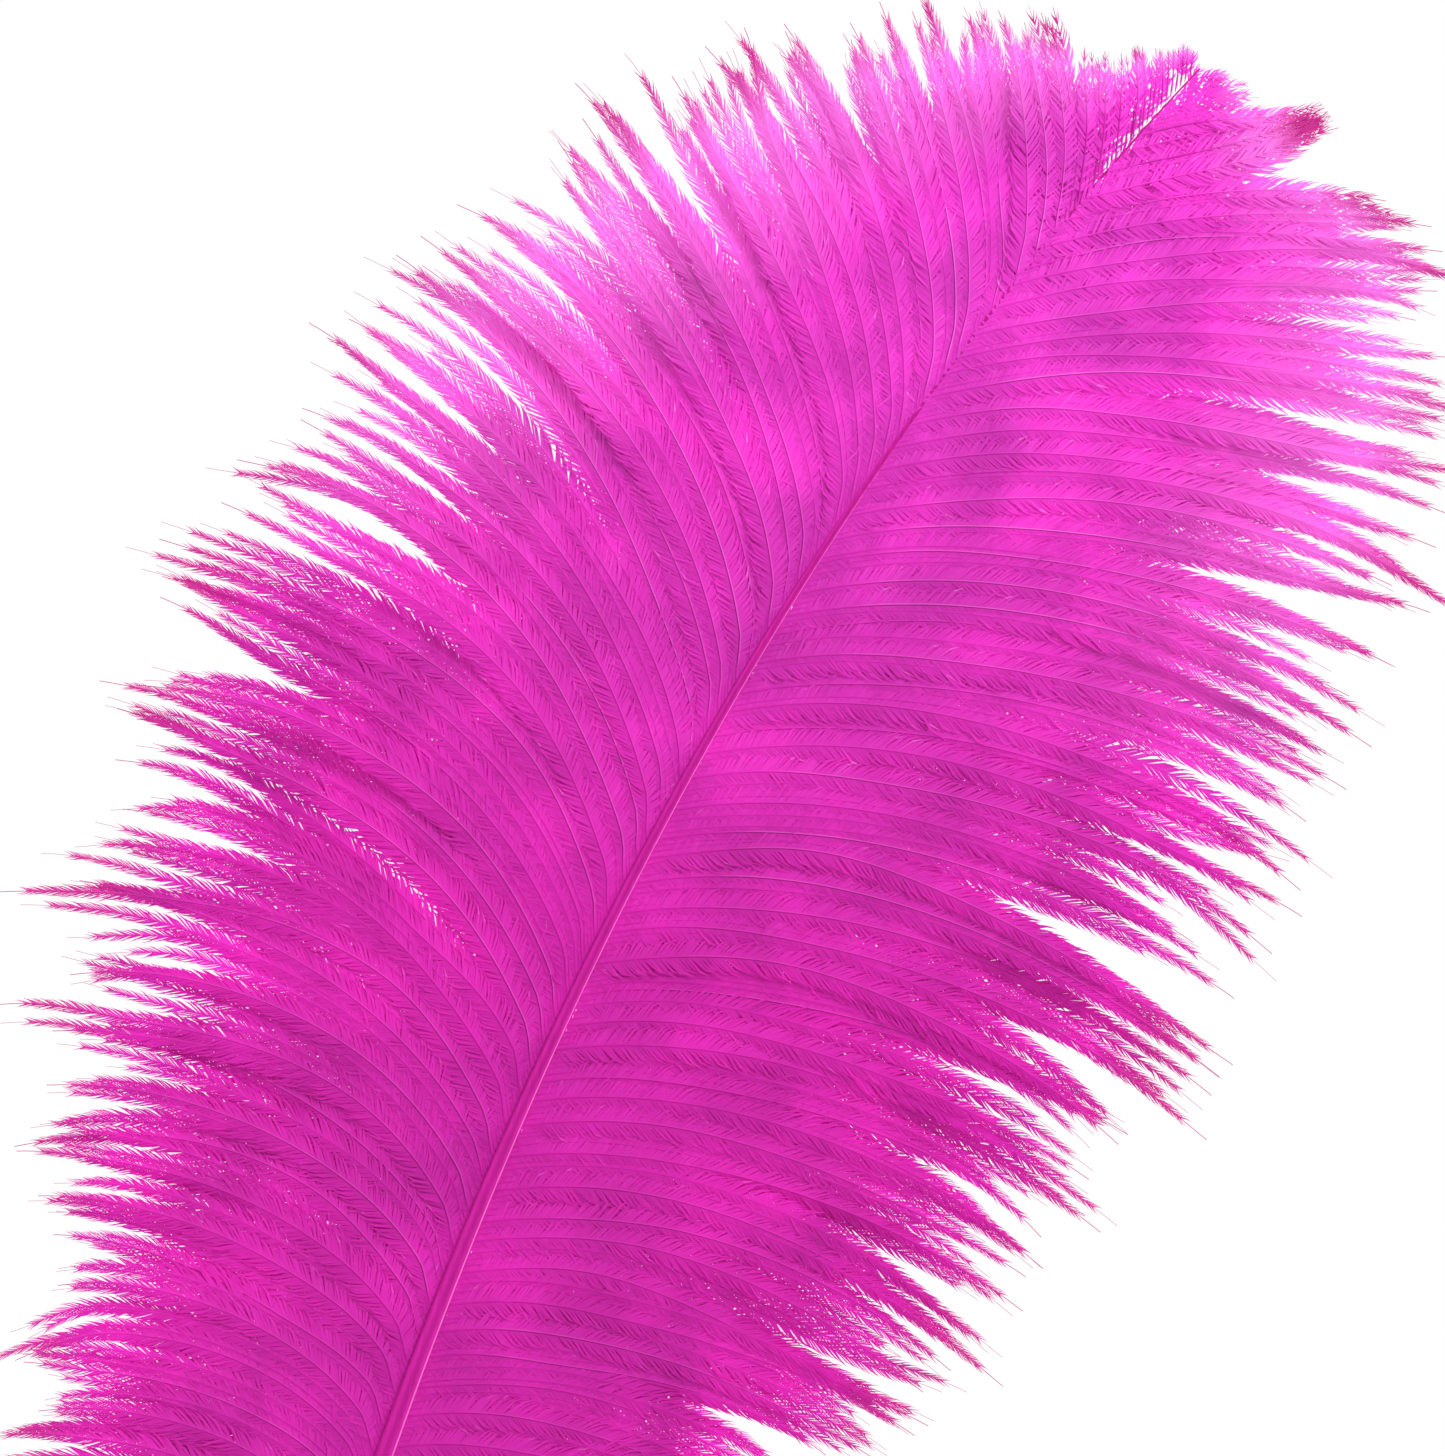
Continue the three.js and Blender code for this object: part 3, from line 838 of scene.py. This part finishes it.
def feather_material(name, light, dark, rose):
    """Barbs of the dyed plume, lighter towards its tip and darker below, rose at their ends, with
    painted shade and glints.
    """
    material, tree = new_material(name)
    place = place_on_object(tree)
    link = tree.links.new
    height = height_share(tree, place, *DARK_TO_LIGHT_HEIGHTS)
    # Lighter high on the plume and darker low on it.
    dye = ramp(tree, height, [(0.0, dark), (0.55, dark), (0.92, light)])
    noise = node(tree, "ShaderNodeTexNoise", Scale=60.0, Detail=3.0)
    link(place, noise.inputs["Vector"])
    patches = ramp(tree, noise.outputs["Fac"], DYE_PATCHES)
    dyed = mix(tree, 1.0, dye, patches, "MULTIPLY")
    # Painted shade, painted highlights and glints, with some random variation, from each face's
    # value.
    shade = ramp(tree, attribute(tree, "light_and_tone"), PAINTED_LIGHT_TONES)
    toned = mix(tree, 1.0, dyed, shade, "MULTIPLY")
    # High on the plume the outer stretch of the barbs is painted paler, as light coming through.
    reach = attribute(tree, "reach")
    high = ramp(tree, height, [(0.68, BLACK), (0.86, WHITE)])
    outer = ramp(tree, reach, [(0.48, BLACK), (0.86, (0.7, 0.7, 0.7))])
    paled = mix(tree, mix(tree, 1.0, high, outer, "MULTIPLY"), toned, PAINTED_THROUGH_LIGHT_PINK)
    ends = ramp(tree, reach, [(0.84, BLACK), (1.0, WHITE)])
    colour = mix(tree, ends, paled, rose)
    surface = node(
        tree, "ShaderNodeBsdfPrincipled", Roughness=0.6, Sheen_Weight=0.08, Sheen_Roughness=0.4,
        Sheen_Tint=(1.0, 0.75, 0.95, 1), Specular_IOR_Level=0.25,
    )
    link(colour, surface.inputs["Base Color"])
    through = tree.nodes.new("ShaderNodeBsdfTranslucent")
    link(colour, through.inputs["Color"])
    blend = tree.nodes.new("ShaderNodeMixShader")
    blend.inputs[0].default_value = TRANSLUCENCY
    link(surface.outputs[0], blend.inputs[1])
    link(through.outputs[0], blend.inputs[2])
    show(tree, blend)
    return material


def rachis_material():
    """Dyed horn with fine lengthwise streaks, a painted highlight on its right edge and painted
    shade in the groove.
    """
    material, tree = new_material("rachis_dyed_horn_and_painted_shade")
    place = place_on_object(tree)
    streaks = lengthwise_streaks(tree, place, squash=0.06, scale=2600.0, detail=4.0)
    # Painted shade in the groove and a painted highlight along the right edge.
    across = ramp(tree, attribute(tree, "depth"), RACHIS_PAINTED_SHADES)
    colour = mix(tree, 1.0, across, ramp(tree, streaks, RACHIS_STREAKS), "MULTIPLY")
    surface = node(tree, "ShaderNodeBsdfPrincipled", Specular_IOR_Level=0.08)
    tree.links.new(colour, surface.inputs["Base Color"])
    rough = node(tree, "ShaderNodeMapRange", To_Min=0.48, To_Max=0.66)
    tree.links.new(streaks, rough.inputs["Value"])
    tree.links.new(rough.outputs[0], surface.inputs["Roughness"])
    roughen(tree, surface, streaks, 0.25, 0.06 * MM)
    show(tree, surface)
    return material


def horn_material(name, low, high, streak):
    """Clear dyed horn of the quill, smooth, with faint lengthwise streaks."""
    material, tree = new_material(name)
    place = place_on_object(tree)
    streaks = lengthwise_streaks(tree, place, squash=0.08, scale=1500.0, detail=5.0)
    height = height_share(tree, place, 0.0, QUILL_LENGTH * MM)
    dye = ramp(tree, height, [(0.0, low), (0.1, low), (0.92, high)])
    fine = ramp(tree, streaks, [(0.3, streak), (0.7, (1.08, 1.08, 1.08))])
    colour = mix(tree, 1.0, dye, fine, "MULTIPLY")
    surface = node(
        tree, "ShaderNodeBsdfPrincipled", Roughness=0.38, Coat_Weight=0.12, Coat_Roughness=0.15,
        Specular_IOR_Level=0.3,
    )
    tree.links.new(colour, surface.inputs["Base Color"])
    roughen(tree, surface, streaks, 0.2, 0.08 * MM)
    show(tree, surface)
    return material


def pith_material():
    """Dry white foam stained by the dye."""
    material, tree = new_material("pith_foam")
    place = place_on_object(tree)
    cells = node(tree, "ShaderNodeTexVoronoi", Scale=6000.0)
    tree.links.new(place, cells.inputs["Vector"])
    surface = node(tree, "ShaderNodeBsdfPrincipled", Roughness=0.9)
    tree.links.new(ramp(tree, cells.outputs["Distance"], PITH_CELLS), surface.inputs["Base Color"])
    roughen(tree, surface, cells.outputs["Distance"], 0.5, 0.1 * MM)
    show(tree, surface)
    return material


# ---- Stage ------------------------------------------------------------------------------------
VIEW_LENS = 260.0
SENSOR = 36.0
VIEW_HEIGHT = 257.7 * MM  # what the picture's height spans at the plume
VIEW_CENTRE = Vector((35.5, -20.0, 311.0)) * MM
VIEW_ROLL = 13.5  # the shaft's base leans this far from the picture's upright
KEY_PLACE, KEY_TARGET = (0.55, -0.9, 1.15), (0.03, 0, 0.3)  # in metres
KEY_POWER, KEY_SIZE = 14.0, 0.5
FLOOR_RADIUS = 620.0
FLOOR_HEIGHT = -0.6
FLOOR_EDGES = 96
FLOOR_GREY = 0.86


def make_camera():
    data = bpy.data.cameras.new("camera")
    data.sensor_width = SENSOR
    data.lens = VIEW_LENS
    camera = bpy.data.objects.new("camera", data)
    bpy.context.scene.collection.objects.link(camera)
    distance = VIEW_LENS * VIEW_HEIGHT / SENSOR
    camera.location = VIEW_CENTRE - Vector((0, distance, 0))
    look = (VIEW_CENTRE - camera.location).to_track_quat("-Z", "Y")
    turn = look @ Quaternion((0, 0, 1), math.radians(VIEW_ROLL))
    camera.rotation_mode = "QUATERNION"
    camera.rotation_quaternion = turn
    bpy.context.scene.camera = camera


def make_light(name, place, target, power, size):
    data = bpy.data.lights.new(name, "AREA")
    data.energy = power
    data.size = size
    light = bpy.data.objects.new(name, data)
    light.location = place
    light.rotation_mode = "QUATERNION"
    light.rotation_quaternion = (Vector(target) - Vector(place)).to_track_quat("-Z", "Y")
    bpy.context.scene.collection.objects.link(light)


def make_stage():
    """Even white light from all round, one soft key light, and a round pale floor."""
    world = bpy.data.worlds.new("studio")
    world.use_nodes = True
    background = world.node_tree.nodes["Background"]
    background.inputs["Color"].default_value = (1, 1, 1, 1)
    background.inputs["Strength"].default_value = 1.0
    bpy.context.scene.world = world
    bpy.context.scene.view_settings.view_transform = "Standard"
    make_light("key", KEY_PLACE, KEY_TARGET, KEY_POWER, KEY_SIZE)

    edge = np.arange(FLOOR_EDGES)
    rim = FLOOR_RADIUS * circle(FLOOR_EDGES)
    points = np.vstack([np.insert(rim, 2, FLOOR_HEIGHT, axis=1), [0, 0, FLOOR_HEIGHT]])
    slices = np.stack([edge, np.roll(edge, -1), np.full(FLOOR_EDGES, FLOOR_EDGES)], -1)
    floor = make_mesh("floor", points, NO_QUADS, slices)
    material, tree = new_material("pale_floor")
    grey = (FLOOR_GREY, FLOOR_GREY, FLOOR_GREY, 1)
    show(tree, node(tree, "ShaderNodeBsdfPrincipled", Roughness=0.8, Base_Color=grey))
    floor.data.materials.append(material)


# ---- Assembly ---------------------------------------------------------------------------------
make_camera()
make_stage()
barb_dye_and_painted_light = feather_material("barb_dye_and_painted_light", *BARB_COLOURS)
down_dye_and_painted_light = feather_material("down_dye_and_painted_light", *DOWN_COLOURS)
make_rachis(rachis_material())
make_quill(horn_material("quill_clear_horn", *QUILL_DYES))
cap_horn = horn_material("pulp_cap_horn", *PULP_DYES)
for cap, height in PULP_CAP_PLACES.items():
    make_pulp_cap(cap, height, cap_horn)
foam = pith_material()
for number in range(1, len(BENDS) + 1):
    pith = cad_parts[f"pith_{number}"]
    pith.data.materials.clear()
    pith.data.materials.append(foam)
for side in (LEFT, RIGHT):
    make_vane(side, barb_dye_and_painted_light)
make_tip_tuft(barb_dye_and_painted_light)
for side in (LEFT, RIGHT):
    make_down(side, down_dye_and_painted_light)
